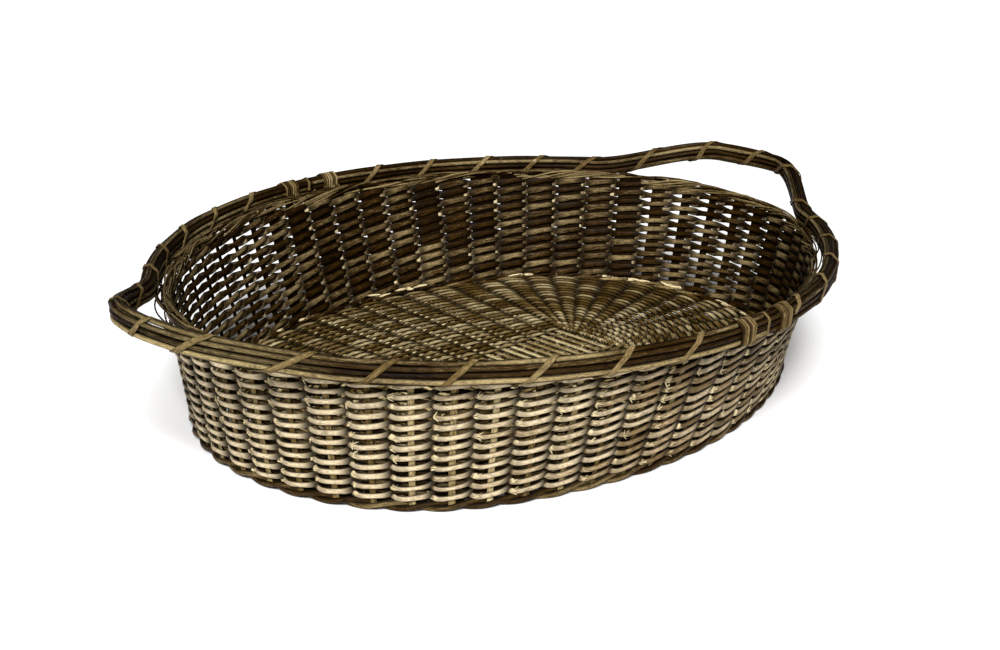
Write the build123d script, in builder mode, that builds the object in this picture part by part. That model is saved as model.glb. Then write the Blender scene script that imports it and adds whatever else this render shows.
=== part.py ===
"""Oval wickerwork winnowing basket with two loop handles made by its own rim.

Millimetres. +X runs along the basket from handle to handle, +Y across it, +Z up. The origin is the
middle of the base, on the surface that the basket stands on.

Every oval in the basket is four arcs that run into each other without a corner: two end arcs and two
side arcs. The wall leans outwards from the oval of its base to the larger oval of its top edge. The
woven strands are plain rings here, in pairs that hold the flat stakes between them. A strand of the
wall is eight lengths end to end, and so is each rod of the rim, four for each end of the basket.
"""

import os
from math import atan2, cos, degrees, floor, pi, sin, sqrt, tan

from build123d import *

# ---------------------------------------------------------------- driving dimensions
RIM_HALF_LENGTH = 340.0  # to the middle of the rod bundle, where there is no handle
RIM_HALF_WIDTH = 275.0
RIM_HEIGHT = 127.0  # middle of the rod bundle
RIM_ROUNDNESS = 0.77  # end arc radius, as a share of the half width

BASE_HALF_LENGTH = 303.0  # to the middle of the wall's thickness, at floor level
BASE_HALF_WIDTH = 222.0
BASE_ROUNDNESS = 0.89
BASE_EDGE_INSET = 2.5  # the edge of the weave stands inside the middle of the wall

WALL_INSET = 13.7  # the wall's top edge stands inside the rod bundle
WALL_TOP_SINK = 2.6  # and a little below its middle

ROD_DIAMETER = 5.0
ROD_PITCH = 5.1
HANDLE_OUT = 47.0  # how far a handle stands out from the rim
HANDLE_UP = 20.0  # how far it rises
HANDLE_FLAT = 35.0  # length along the rim, from the end, that is fully out
HANDLE_LONG_SPAN = 149.0  # length along the rim, from the end, where its long leg rejoins it
HANDLE_SHORT_SPAN = 141.0  # and its short leg
HANDLE_STEPS = 22  # corners of a rod's route in the handle
SIDE_STEPS = 8  # and in each side of the rim
ROD_HALF_GAP = 0.5  # the two halves of each rod meet at the middle of the long sides
BEND_SHARE = 0.45  # share of the shorter straight run next to a corner that its bend takes up
FRAME_STEP = 0.5  # half the length over which the rim's direction is taken

STAKE_COUNT = 56
STAKE_WIDTH = 7.0
STAKE_THICKNESS = 1.6
STAKES_PER_END = 17
STAKE_RUNS = 4  # straight runs that a stake's slight bend is made of

WALL_ROWS = 12
FIRST_ROW_HEIGHT = 14.5
ROW_PITCH = 8.9
WEFT_WIDTH = 5.6
WEFT_THICKNESS = 2.0
WEFT_GAP = 0.4  # clear of the stakes
SPLICE_GAP = 0.4  # between the lengths of cane that make up a strand or a rod

BASE_ROWS = 21
BASE_STICK_THICKNESS = 1.8
BASE_STICK_LEVEL = 5.2  # underside of the long sticks
BASE_WEFT_THICKNESS = 1.9
BASE_WEFT_FILL = 0.86  # share of each row's pitch that the strand takes up
CENTRE_HALF_LENGTH = 121.0  # the bare middle, where the sticks cross
CENTRE_HALF_WIDTH = 31.0
CENTRE_MARGIN = 3.9  # the first row lies this far outside it
CROSS_STICKS = 22
CROSS_STICK_WIDTH = 7.6
LONG_STICKS = 17
LONG_STICK_WIDTH = 3.0

FOOT_STRAND = 5.0
FOOT_CLEARANCE = 0.2  # between the two strands of the foot border, and below the stakes
BORDER_STRAND = 2.6
BORDER_DROP = 4.6  # two border strands lie this far below the wall's top edge, one lies on it

LASHING_PITCH = 65.0
LASHING_WIDTH = 5.0
LASHING_THICKNESS = 1.0
LASHING_SLANT = 28.0
LASHING_CLEARANCE = 2.7
SIDE_LASHING_TURNS = 3  # on each side of a joint
BINDING_TURNS = 6
BINDING_CORD = 2.4
BINDING_PITCH = 3.0
BINDING_CLEARANCE = 0.3
BINDING_GROUP_OFFSET = 26.0  # each binding is two groups of turns, this far either side of the joint

OUT_FOLDER = "parts"
os.makedirs(OUT_FOLDER, exist_ok=True)


# ---------------------------------------------------------------- ovals
class Oval:
    """An oval of four tangent arcs about the origin."""

    def __init__(self, half_length, half_width, end_radius):
        self.a = half_length
        self.b = half_width
        self.r = end_radius
        self.side = (self.a**2 + self.b**2 - 2 * self.a * self.r) / (2 * (self.b - self.r))
        self.turn = atan2(self.side - self.b, self.a - self.r)
        self.quarter = self.r * self.turn + self.side * (pi / 2 - self.turn)
        self.length = 4 * self.quarter

    def offset(self, distance):
        return Oval(self.a + distance, self.b + distance, self.r + distance)

    def arc_points(self):
        """Where the arcs meet and pass, from the end arc at +X round by +Y."""
        jx = self.a - self.r + self.r * cos(self.turn)
        jy = self.r * sin(self.turn)
        return [
            ((jx, -jy), (self.a, 0), (jx, jy)),
            ((jx, jy), (0, self.b), (-jx, jy)),
            ((-jx, jy), (-self.a, 0), (-jx, -jy)),
            ((-jx, -jy), (0, -self.b), (jx, -jy)),
        ]

    def at(self, along):
        """Point and outward direction, at a length along the oval from its +X end."""
        u = along % self.length
        quarter = int(u // self.quarter) % 4
        u -= quarter * self.quarter
        if quarter % 2:
            u = self.quarter - u
        end_arc = self.r * self.turn
        if u <= end_arc:
            angle = u / self.r
            x = self.a - self.r + self.r * cos(angle)
            y = self.r * sin(angle)
        else:
            angle = self.turn + (u - end_arc) / self.side
            x = self.side * cos(angle)
            y = self.b - self.side + self.side * sin(angle)
        sx = -1 if quarter in (1, 2) else 1
        sy = -1 if quarter in (2, 3) else 1
        return Vector(sx * x, sy * y, 0), Vector(sx * cos(angle), sy * sin(angle), 0)


def between(low, high, share):
    """The oval that lies a share of the way from one oval to another."""
    mix = [p + (q - p) * share for p, q in zip((low.a, low.b, low.r), (high.a, high.b, high.r))]
    return Oval(*mix)


def draw_oval(oval):
    """Adds the four arcs to the line that is being built."""
    for start, middle, end in oval.arc_points():
        ThreePointArc(start, middle, end)


RIM = Oval(RIM_HALF_LENGTH, RIM_HALF_WIDTH, RIM_ROUNDNESS * RIM_HALF_WIDTH)
WALL_TOP = RIM.offset(-WALL_INSET)
WALL_TOP_HEIGHT = RIM_HEIGHT - WALL_TOP_SINK
WALL_BASE = Oval(BASE_HALF_LENGTH, BASE_HALF_WIDTH, BASE_ROUNDNESS * BASE_HALF_WIDTH)
CENTRE = Oval(
    CENTRE_HALF_LENGTH + CENTRE_MARGIN,
    CENTRE_HALF_WIDTH + CENTRE_MARGIN,
    CENTRE_HALF_WIDTH,
)
BASE_EDGE = WALL_BASE.offset(-BASE_EDGE_INSET)
LONG_TOP = BASE_STICK_LEVEL + BASE_STICK_THICKNESS
CROSS_TOP = LONG_TOP + BASE_STICK_THICKNESS
STAKE_BOTTOM = FOOT_STRAND + FOOT_CLEARANCE
STAKE_TOP = WALL_TOP_HEIGHT - BORDER_STRAND / 2


def wall_oval(height):
    """The middle of the wall's thickness at a height."""
    return between(WALL_BASE, WALL_TOP, height / WALL_TOP_HEIGHT)


def save(part, name):
    part.label = name
    export_step(part, f"{OUT_FOLDER}/{name}.step")


# ---------------------------------------------------------------- strands as rings
def flat_ring(outer, inner, bottom, thickness):
    """A flat ring between two ovals."""
    with BuildPart() as ring:
        with BuildSketch(Plane.XY.offset(bottom)):
            with BuildLine():
                draw_oval(outer)
            make_face()
            with BuildLine():
                draw_oval(inner)
            make_face(mode=Mode.SUBTRACT)
        extrude(amount=thickness)
    return ring.part


def swept_ring(oval, height, section):
    """A ring whose section is drawn by a function, on a plane with its x pointing outwards."""
    jx, jy = oval.arc_points()[0][0]
    out = Vector(cos(oval.turn), -sin(oval.turn), 0)
    along = Vector(sin(oval.turn), cos(oval.turn), 0)
    with BuildPart() as ring:
        with BuildLine(Plane.XY.offset(height)) as path:
            draw_oval(oval)
        with BuildSketch(Plane(origin=(jx, jy, height), x_dir=out, z_dir=along)):
            section()
        sweep(path=path.wire())
    return ring.part


def wall_weft_lengths(row, side):
    """The eight lengths of one strand of a wall row, outside (+1) or inside (-1) the stakes."""
    height = FIRST_ROW_HEIGHT + row * ROW_PITCH
    lean = degrees(atan2((WALL_TOP.a + WALL_TOP.b - WALL_BASE.a - WALL_BASE.b) / 2, WALL_TOP_HEIGHT))
    oval = wall_oval(height).offset(side * (STAKE_THICKNESS / 2 + WEFT_GAP + WEFT_THICKNESS / 2))
    end_arc = oval.r * oval.turn
    lengths = []
    for quarter in range(4):
        # every other quarter of the oval runs from its side to its end
        corner = oval.quarter - end_arc if quarter % 2 else end_arc
        for start, end in ((0, corner), (corner, oval.quarter)):
            first = quarter * oval.quarter + start + SPLICE_GAP / 2
            last = quarter * oval.quarter + end - SPLICE_GAP / 2
            route = [oval.at(along) for along in (first, (first + last) / 2, last)]
            points = [point + Vector(0, 0, height) for point, _ in route]
            out = route[0][1]
            with BuildPart() as length:
                with BuildLine() as path:
                    ThreePointArc(*points)
                # the plane's y points up, because its z runs along the strand and its x inwards
                with BuildSketch(Plane(origin=points[0], x_dir=-out, z_dir=path.line % 0)):
                    Rectangle(WEFT_THICKNESS, WEFT_WIDTH, rotation=lean)
                sweep(path=path.wire())
            lengths.append(length.part)
    return lengths


def make_wall_rows():
    for row in range(WALL_ROWS):
        name = f"wall_weft_row_{row + 1:02d}"
        strands = wall_weft_lengths(row, 1) + wall_weft_lengths(row, -1)
        save(Compound(label=name, children=strands), name)


def make_top_border():
    """One strand on the ends of the stakes, and one on each side of them just below."""
    beside = STAKE_THICKNESS / 2 + WEFT_GAP + BORDER_STRAND / 2
    places = {"top": (0, 0), "inner": (-beside, -BORDER_DROP), "outer": (beside, -BORDER_DROP)}
    for place, (sideways, rise) in places.items():
        height = WALL_TOP_HEIGHT + rise
        ring = swept_ring(
            wall_oval(height).offset(sideways), height, lambda: Circle(BORDER_STRAND / 2)
        )
        save(ring, f"top_border_{place}_strand")


def make_foot_border():
    """Two strands round the bottom edge; the basket stands on them."""
    outer = WALL_BASE.offset(STAKE_THICKNESS / 2 + FOOT_STRAND)
    middle = WALL_BASE.offset(STAKE_THICKNESS / 2)
    inner = WALL_BASE.offset(STAKE_THICKNESS / 2 - FOOT_STRAND)
    save(flat_ring(outer, middle.offset(FOOT_CLEARANCE / 2), 0, FOOT_STRAND), "foot_border_outer_strand")
    save(flat_ring(middle.offset(-FOOT_CLEARANCE / 2), inner, 0, FOOT_STRAND), "foot_border_inner_strand")


# ---------------------------------------------------------------- stakes of the wall
def stake_at(share):
    """A flat strip up the wall, bent a little to follow it, a share of the way round."""
    heights = [STAKE_BOTTOM + (STAKE_TOP - STAKE_BOTTOM) * k / STAKE_RUNS for k in range(STAKE_RUNS + 1)]
    points = []
    for height in heights:
        oval = wall_oval(height)
        point, _ = oval.at(share * oval.length)
        points.append(point + Vector(0, 0, height))
    _, out = wall_oval(STAKE_TOP).at(share * wall_oval(STAKE_TOP).length)
    rise = (points[-1] - points[0]).normalized()
    side = rise.cross(out).normalized()
    plane = Plane(origin=points[0], x_dir=rise, z_dir=side)
    in_plane = [plane.to_local_coords(point) for point in points]
    with BuildPart() as stake:
        with BuildSketch(plane):
            with BuildLine() as route:
                Polyline(*[(p.X, p.Y) for p in in_plane])
            trace(route.line, line_width=STAKE_THICKNESS)
        extrude(amount=STAKE_WIDTH / 2, both=True)
    return stake.part


def make_stakes():
    """Flat upright stakes, grouped by the part of the wall that they stand in."""
    half_end = STAKES_PER_END // 2
    per_side = STAKE_COUNT // 2 - STAKES_PER_END
    sizes = {"end_right": STAKES_PER_END, "side_far": per_side}
    sizes.update({"end_left": STAKES_PER_END, "side_near": per_side})
    number = -half_end
    for group, size in sizes.items():
        stakes = [stake_at(((number + k) % STAKE_COUNT) / STAKE_COUNT) for k in range(size)]
        number += size
        save(Compound(label=f"wall_stakes_{group}", children=stakes), f"wall_stakes_{group}")


# ---------------------------------------------------------------- base
def stick(points, width, bottom):
    """A flat stick that follows a route in plan."""
    with BuildPart() as made:
        with BuildSketch(Plane.XY.offset(bottom)):
            with BuildLine() as route:
                Polyline(*points)
            trace(route.line, line_width=width)
        extrude(amount=BASE_STICK_THICKNESS)
    return made.part


def base_edge_point(station, sideways=0.0):
    """Where a spoke ends on the edge of the base; stations are those of the stakes."""
    edge = BASE_EDGE.offset(-STAKE_THICKNESS)
    point, _ = edge.at(station / STAKE_COUNT * edge.length + sideways)
    return point.X, point.Y


def make_cross_sticks():
    """Sticks across the base, side by side in the bare middle and fanned out in pairs under the weave."""
    pitch = 2 * CENTRE_HALF_LENGTH / CROSS_STICKS
    first_station = STAKES_PER_END // 2 + 1
    bend = CENTRE_HALF_WIDTH + pitch / 2
    sticks = []
    for number in range(CROSS_STICKS):
        x = CENTRE_HALF_LENGTH - (number + 0.5) * pitch
        apart = pitch / 2 if number % 2 else -pitch / 2
        station = first_station + number // 2
        far = base_edge_point(station, apart)
        near = (far[0], -far[1])
        sticks.append(stick([far, (x, bend), (x, -bend), near], CROSS_STICK_WIDTH, LONG_TOP))
    save(Compound(label="base_cross_sticks", children=sticks), "base_cross_sticks")


def make_long_sticks():
    """Thinner sticks along the base, under the cross sticks, fanned out at both ends."""
    pitch = 2 * CENTRE_HALF_WIDTH / LONG_STICKS
    half = LONG_STICKS // 2
    sticks = []
    for number in range(-half, half + 1):
        y = number * pitch
        right = base_edge_point(number)
        left = (-right[0], right[1])
        route = [right, (CENTRE_HALF_LENGTH, y), (-CENTRE_HALF_LENGTH, y), left]
        if number == 0:
            route = [right, left]
        sticks.append(stick(route, LONG_STICK_WIDTH, BASE_STICK_LEVEL))
    save(Compound(label="base_long_sticks", children=sticks), "base_long_sticks")


def make_base_weave():
    """Rings above and below the sticks, from the bare middle out to the edge, in three zones."""
    per_zone = BASE_ROWS // 3
    levels = {"upper": CROSS_TOP, "lower": BASE_STICK_LEVEL - BASE_WEFT_THICKNESS}
    for level, bottom in levels.items():
        for zone, place in enumerate(("inner", "middle", "outer")):
            rings = []
            for row in range(zone * per_zone, (zone + 1) * per_zone):
                inner = between(CENTRE, BASE_EDGE, row / BASE_ROWS)
                outer = between(CENTRE, BASE_EDGE, (row + BASE_WEFT_FILL) / BASE_ROWS)
                rings.append(flat_ring(outer, inner, bottom, BASE_WEFT_THICKNESS))
            name = f"base_weave_{level}_{place}"
            save(Compound(label=name, children=rings), name)


# ---------------------------------------------------------------- rim and handles
def smooth(share):
    """0 to 1 with level ends."""
    share = min(max(share, 0.0), 1.0)
    return share * share * (3 - 2 * share)


def rim_point(along):
    """Middle of the rod bundle, at a length along the rim from the middle of the +X handle."""
    point, _ = RIM.at(along)
    half = RIM.length / 2
    u = along % half
    from_end, span = (u, HANDLE_LONG_SPAN) if u < half / 2 else (half - u, HANDLE_SHORT_SPAN)
    lift = smooth((span - from_end) / (span - HANDLE_FLAT))
    side = 1 if point.X > 0 else -1
    return point + Vector(side * HANDLE_OUT * lift, 0, RIM_HEIGHT + HANDLE_UP * lift)


def rim_frame(along):
    """Middle, direction along, outward and upward directions of the rod bundle."""
    middle = rim_point(along)
    forward = (rim_point(along + FRAME_STEP) - rim_point(along - FRAME_STEP)).normalized()
    out = forward.cross(Vector(0, 0, 1)).normalized()
    up = out.cross(forward).normalized()
    return middle, forward, out, up


def bundle_places():
    """Where each rod lies in the bundle, outwards and upwards: columns of 3, 4 and 3."""
    column_step = ROD_PITCH * sqrt(3) / 2
    places = []
    for column, rods in zip((-1, 0, 1), (3, 4, 3)):
        for rod in range(rods):
            places.append((column * column_step, (rod - (rods - 1) / 2) * ROD_PITCH))
    return places


def half_rim_stations():
    """Lengths along the rim for the corners of a rod's route, closer together in the handle."""
    half = RIM.length / 4 - ROD_HALF_GAP
    handle_step = (HANDLE_SHORT_SPAN + HANDLE_LONG_SPAN) / HANDLE_STEPS
    short_step = (half - HANDLE_SHORT_SPAN) / SIDE_STEPS
    long_step = (half - HANDLE_LONG_SPAN) / SIDE_STEPS
    short_side = [-half + k * short_step for k in range(SIDE_STEPS)]
    handle = [-HANDLE_SHORT_SPAN + k * handle_step for k in range(HANDLE_STEPS)]
    long_side = [HANDLE_LONG_SPAN + k * long_step for k in range(SIDE_STEPS + 1)]
    return short_side + handle + long_side


def rod_route(out_by, up_by):
    """Points of one rod's route over the +X half of the rim."""
    points = []
    for along in half_rim_stations():
        middle, _, out, up = rim_frame(along)
        points.append(middle + out * out_by + up * up_by)
    return points


def bend_radii(points):
    """The largest bend that each corner has room for."""
    radii = []
    for before, corner, after in zip(points, points[1:], points[2:]):
        run_in = corner - before
        run_out = after - corner
        half_turn = run_in.get_angle(run_out) * pi / 360
        radii.append(BEND_SHARE * min(run_in.length, run_out.length) / tan(half_turn))
    return radii


def in_four_lengths(points):
    """A rod's route cut at both ends of the handle and in its middle, always in a straight run."""
    cuts = (SIDE_STEPS - 1, SIDE_STEPS - 1 + HANDLE_STEPS // 2, SIDE_STEPS - 1 + HANDLE_STEPS)
    lengths = []
    first = 0
    start = []
    for cut in cuts:
        middle = (points[cut] + points[cut + 1]) / 2
        half_gap = (points[cut + 1] - points[cut]).normalized() * (SPLICE_GAP / 2)
        lengths.append(start + points[first : cut + 1] + [middle - half_gap])
        first = cut + 1
        start = [middle + half_gap]
    lengths.append(start + points[first:])
    return lengths


def rod_length(points):
    """A round solid along a route with rounded corners."""
    with BuildPart() as length:
        with BuildLine() as path:
            FilletPolyline(*points, radius=bend_radii(points))
        with BuildSketch(Plane(path.line ^ 0)):
            Circle(ROD_DIAMETER / 2)
        sweep(path=path.wire())
    return length.part


def make_rods():
    """Ten rods, each in two halves that run round one end of the basket and its handle."""
    for number, (out_by, up_by) in enumerate(bundle_places(), start=1):
        lengths = [rod_length(points) for points in in_four_lengths(rod_route(out_by, up_by))]
        for half, turn in (("right", 0), ("left", 180)):
            name = f"rim_rod_{half}_{number:02d}"
            turned = [Rot(0, 0, turn) * length for length in lengths]
            save(Compound(label=name, children=turned), name)


def bundle_sleeve(middle, out, along, clearance, width):
    """A solid sleeve round the bundle, rounded over its rods."""
    column_step = ROD_PITCH * sqrt(3) / 2
    reach = ROD_DIAMETER / 2 + clearance
    corners = [
        (column_step, ROD_PITCH),
        (0, 1.5 * ROD_PITCH),
        (-column_step, ROD_PITCH),
        (-column_step, -ROD_PITCH),
        (0, -1.5 * ROD_PITCH),
        (column_step, -ROD_PITCH),
    ]
    with BuildPart() as sleeve:
        with BuildSketch(Plane(origin=middle - along * (width / 2), x_dir=out, z_dir=along)):
            with BuildLine():
                Polyline(*corners, close=True)
            make_face()
            offset(amount=reach, kind=Kind.ARC)
        extrude(amount=width)
    return sleeve.part


def wrap(along, width, thickness, clearance, slant):
    """A closed turn of strip or cord round the bundle."""
    middle, forward, out, _ = rim_frame(along)
    forward = forward.rotate(Axis((0, 0, 0), out), slant)
    with BuildPart() as made:
        add(bundle_sleeve(middle, out, forward, clearance + thickness, width))
        add(bundle_sleeve(middle, out, forward, clearance, 2 * width), mode=Mode.SUBTRACT)
    return made.part


def make_lashing():
    """The turns of the flat lashing, in groups for the two handles and the two long sides."""
    quarter = RIM.length / 4
    groups = {"handle_right": 0, "side_far": 1, "handle_left": 2, "side_near": 3}
    for group, quarter_turn in groups.items():
        centre = quarter_turn * quarter
        reach = quarter / 2
        if "side" in group:
            steps = [BINDING_GROUP_OFFSET * 2 + k * LASHING_PITCH for k in range(SIDE_LASHING_TURNS)]
            turns = [side * step for side in (-1, 1) for step in steps]
        else:
            count = floor(2 * reach / LASHING_PITCH)
            turns = [(k - (count - 1) / 2) * LASHING_PITCH for k in range(count)]
        wraps = [
            wrap(centre + t, LASHING_WIDTH, LASHING_THICKNESS, LASHING_CLEARANCE, LASHING_SLANT) for t in turns
        ]
        save(Compound(label=f"lashing_{group}", children=wraps), f"lashing_{group}")


def make_bindings():
    """The tight round turns over the two joints of the rods."""
    for name, centre in (("far", RIM.length / 4), ("near", RIM.length * 3 / 4)):
        turns = []
        for group in (-1, 1):
            for turn in range(BINDING_TURNS):
                shift = (turn - (BINDING_TURNS - 1) / 2) * BINDING_PITCH
                along = centre + group * BINDING_GROUP_OFFSET + shift
                turns.append(wrap(along, BINDING_CORD, BINDING_CORD / 2, BINDING_CLEARANCE, 0))
        save(Compound(label=f"joint_binding_{name}", children=turns), f"joint_binding_{name}")


make_cross_sticks()
make_long_sticks()
make_base_weave()
make_foot_border()
make_stakes()
make_wall_rows()
make_top_border()
make_rods()
make_lashing()
make_bindings()
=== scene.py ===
"""Looks of the oval wickerwork winnowing basket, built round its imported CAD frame. Metres.

+X runs from handle to handle, +Y across, +Z up. Every strand is swept as a mesh along a route worked
out from the frame: the ovals of the rim, the wall and the base are read from CAD nodes. The shape of
the handles and the bare middle of the base follow the same sizes as the CAD.
"""

from math import atan2, cos, pi, radians, sin

import bpy
import numpy as np
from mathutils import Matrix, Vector


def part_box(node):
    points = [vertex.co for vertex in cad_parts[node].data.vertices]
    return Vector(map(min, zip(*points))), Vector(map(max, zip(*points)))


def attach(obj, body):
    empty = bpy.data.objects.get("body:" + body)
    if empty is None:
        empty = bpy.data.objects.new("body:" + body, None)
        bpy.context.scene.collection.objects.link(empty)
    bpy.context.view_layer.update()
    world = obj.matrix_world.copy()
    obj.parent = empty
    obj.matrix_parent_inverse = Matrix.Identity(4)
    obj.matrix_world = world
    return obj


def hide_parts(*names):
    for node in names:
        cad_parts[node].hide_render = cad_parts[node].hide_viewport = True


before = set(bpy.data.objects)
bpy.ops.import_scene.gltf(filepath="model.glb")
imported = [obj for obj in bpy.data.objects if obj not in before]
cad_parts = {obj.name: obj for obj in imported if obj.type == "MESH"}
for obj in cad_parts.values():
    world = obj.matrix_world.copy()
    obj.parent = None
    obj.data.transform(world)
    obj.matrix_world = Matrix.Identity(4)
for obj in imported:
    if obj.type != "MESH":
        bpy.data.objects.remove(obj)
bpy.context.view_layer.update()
rng = np.random.default_rng(7)

# ---------------------------------------------------------------- sizes read from the frame
MM = 0.001
STAKES = 56
WALL_ROWS = 12
BASE_ROWS = 21
CROSS_STICKS = 22
LONG_STICKS = 17
ROD_RADIUS = 2.5 * MM
ROD_PITCH = 5.1 * MM
ROD_JOINT_GAP = 0.5 * MM
HANDLE_FLAT = 35 * MM
HANDLE_LONG_SPAN = 149 * MM
HANDLE_SHORT_SPAN = 141 * MM
RIM_ROUNDNESS = 0.77
BASE_ROUNDNESS = 0.89


def mid(node, axis):
    low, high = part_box(node)
    return (low[axis] + high[axis]) / 2


BORDER_RADIUS = (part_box("top_border_top_strand")[1].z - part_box("top_border_top_strand")[0].z) / 2
WALL_TOP_HEIGHT = mid("top_border_top_strand", 2)
WALL_TOP_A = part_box("top_border_top_strand")[1].x - BORDER_RADIUS
WALL_TOP_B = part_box("top_border_top_strand")[1].y - BORDER_RADIUS
RIM_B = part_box("rim_rod_right_05")[1].y - ROD_RADIUS
INSET = RIM_B - WALL_TOP_B
RIM_A = WALL_TOP_A + INSET
RIM_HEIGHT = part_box("rim_rod_right_05")[0].z + ROD_RADIUS + ROD_PITCH / 2
HANDLE_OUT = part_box("rim_rod_right_05")[1].x - ROD_RADIUS - RIM_A
HANDLE_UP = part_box("rim_rod_right_06")[1].z - ROD_RADIUS - ROD_PITCH / 2 - RIM_HEIGHT
FOOT_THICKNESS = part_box("foot_border_outer_strand")[1].z
BASE_INSET = 0.7 * MM  # from the outer edge of the inner foot strand to the middle of the wall
BASE_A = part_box("foot_border_inner_strand")[1].x - BASE_INSET
BASE_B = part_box("foot_border_inner_strand")[1].y - BASE_INSET
RIM = (RIM_A, RIM_B, RIM_ROUNDNESS * RIM_B)
WALL_TOP = (WALL_TOP_A, WALL_TOP_B, RIM[2] - INSET)
WALL_BASE = (BASE_A, BASE_B, BASE_ROUNDNESS * BASE_B)
CENTRE_A = 121 * MM  # half the length of the bare middle of the base
CENTRE_B = 31 * MM  # and half its width
STICK_LEVEL = mid("base_cross_sticks", 2)
STICK_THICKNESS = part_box("base_cross_sticks")[1].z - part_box("base_cross_sticks")[0].z


# ---------------------------------------------------------------- ovals
def oval_at(a, b, r, share):
    """Point and outward direction on an oval of four tangent arcs, at a share of the way round."""
    a, b, r, share = np.broadcast_arrays(a, b, r, share)
    side = (a**2 + b**2 - 2 * a * r) / (2 * (b - r))
    turn = np.arctan2(side - b, a - r)
    quarter = r * turn + side * (pi / 2 - turn)
    around = (share % 1.0) * 4
    number = np.floor(around)
    within = around - number
    within = np.where(number % 2 == 1, 1 - within, within) * quarter
    on_end = within <= r * turn
    angle = np.where(on_end, within / r, turn + (within - r * turn) / side)
    x = np.where(on_end, a - r + r * np.cos(angle), side * np.cos(angle))
    y = np.where(on_end, r * np.sin(angle), b - side + side * np.sin(angle))
    sign_x = np.where((number == 1) | (number == 2), -1, 1)
    sign_y = np.where(number >= 2, -1, 1)
    return sign_x * x, sign_y * y, sign_x * np.cos(angle), sign_y * np.sin(angle)


def oval_length(oval):
    a, b, r = oval
    side = (a**2 + b**2 - 2 * a * r) / (2 * (b - r))
    turn = atan2(side - b, a - r)
    return 4 * (r * turn + side * (pi / 2 - turn))


RIM_LENGTH = oval_length(RIM)


def unit(vectors):
    return vectors / np.linalg.norm(vectors, axis=-1, keepdims=True)


def wall_at(share, height, out=0.0):
    """Points of the wall and its outward normal there: a share of the way round, at a height.

    The points lie that far outside the middle of the wall.
    """
    share, height, out = np.broadcast_arrays(share, height, out)
    rise = height / WALL_TOP_HEIGHT
    a, b, r = (low + (high - low) * rise for low, high in zip(WALL_BASE, WALL_TOP))
    x, y, nx, ny = oval_at(a, b, r, share)
    lean = (WALL_TOP[0] + WALL_TOP[1] - WALL_BASE[0] - WALL_BASE[1]) / 2 / WALL_TOP_HEIGHT
    normal = unit(np.stack([nx, ny, np.full_like(nx, -lean)], -1))
    point = np.stack([x, y, height], -1) + normal * out[..., None]
    return point, normal


def smooth_step(share):
    share = np.clip(share, 0, 1)
    return share * share * (3 - 2 * share)


def rim_at(along):
    """Middle of the rod bundle, and its forward, outward and upward directions."""

    def middle(u):
        x, y, _, _ = oval_at(*RIM, u / RIM_LENGTH)
        half = RIM_LENGTH / 2
        on_long_leg = u % half < half / 2
        from_end = np.where(on_long_leg, u % half, half - u % half)
        span = np.where(on_long_leg, HANDLE_LONG_SPAN, HANDLE_SHORT_SPAN)
        lift = smooth_step((span - from_end) / (span - HANDLE_FLAT))
        return np.stack([x + np.sign(x) * HANDLE_OUT * lift, y, RIM_HEIGHT + HANDLE_UP * lift], -1)

    step = 4 * MM
    forward = unit(middle(along + step) - middle(along - step))
    out = unit(np.cross(forward, np.array([0.0, 0.0, 1.0])))
    up = np.cross(out, forward)
    return middle(along), forward, out, up


# ---------------------------------------------------------------- strands as meshes
def ripple(count, waves, size, closed=True):
    """A smooth random wave of that many samples."""
    u = np.linspace(0, 2 * pi, count, endpoint=not closed)
    total = np.zeros(count)
    for wave in range(1, waves + 1):
        total += rng.normal() * np.sin(wave * u + rng.uniform(0, 2 * pi))
    return size * total / np.sqrt(waves)


MARKS = ("tone", "wear", "painted_shade", "inside")


def sweep(points, normal, half_width, half_thickness, closed, sides=8, square=1.0, **marks):
    """A strand: an oval section carried along the points, flat side facing along normal.

    Marks are numbers or one number per point: tone (light or dark cane, and painted light on the
    outside of the wall at the -X end), wear (pale torn spots), a shade mark (painted shade where it
    dips into the weave or lies under other strands) and inside (1 on the side that faces into the
    basket).
    """
    count = len(points)
    if closed:
        forward = np.roll(points, -1, 0) - np.roll(points, 1, 0)
    else:
        forward = np.gradient(points, axis=0)
    forward = unit(forward)
    across = unit(np.cross(forward, normal))
    face = np.cross(across, forward)
    angle = np.arange(sides) * 2 * pi / sides
    section_x = np.sign(np.cos(angle)) * np.abs(np.cos(angle)) ** square
    section_y = np.sign(np.sin(angle)) * np.abs(np.sin(angle)) ** square
    half_width = np.broadcast_to(half_width, count)[:, None, None]
    half_thickness = np.broadcast_to(half_thickness, count)[:, None, None]
    ring = across[:, None, :] * section_x[None, :, None] * half_width
    ring = ring + face[:, None, :] * section_y[None, :, None] * half_thickness
    vertices = (points[:, None, :] + ring).reshape(-1, 3)
    spans = count if closed else count - 1
    i = np.arange(spans)[:, None]
    j = np.arange(sides)[None, :]
    i_next = (i + 1) % count
    j_next = (j + 1) % sides
    quads = np.stack(
        [i * sides + j, i_next * sides + j, i_next * sides + j_next, i * sides + j_next], -1
    ).reshape(-1, 4)
    ends = np.vstack([points, points[:1]]) if closed else points
    length = np.concatenate([[0], np.cumsum(np.linalg.norm(np.diff(ends, axis=0), axis=1))])
    u0, u1 = length[:-1][:, None], length[1:][:, None]
    v0, v1 = j / sides, (j + 1) / sides
    shape = (spans, sides)
    corners = [(u0, v0), (u1, v0), (u1, v1), (u0, v1)]
    sides_of_uv = [[np.broadcast_to(line, shape) for line in corner] for corner in corners]
    uv = np.stack([np.stack(corner, -1) for corner in sides_of_uv], 2)
    uv = uv.reshape(-1, 2)
    uv[:, 0] += rng.uniform(0, 50)
    caps = []
    if not closed:
        caps = [list(range(sides))[::-1], [(count - 1) * sides + k for k in range(sides)]]
    spread = [np.repeat(np.broadcast_to(marks.get(mark, 0.0), count), sides) for mark in MARKS]
    return vertices, quads, uv, caps, spread


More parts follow.
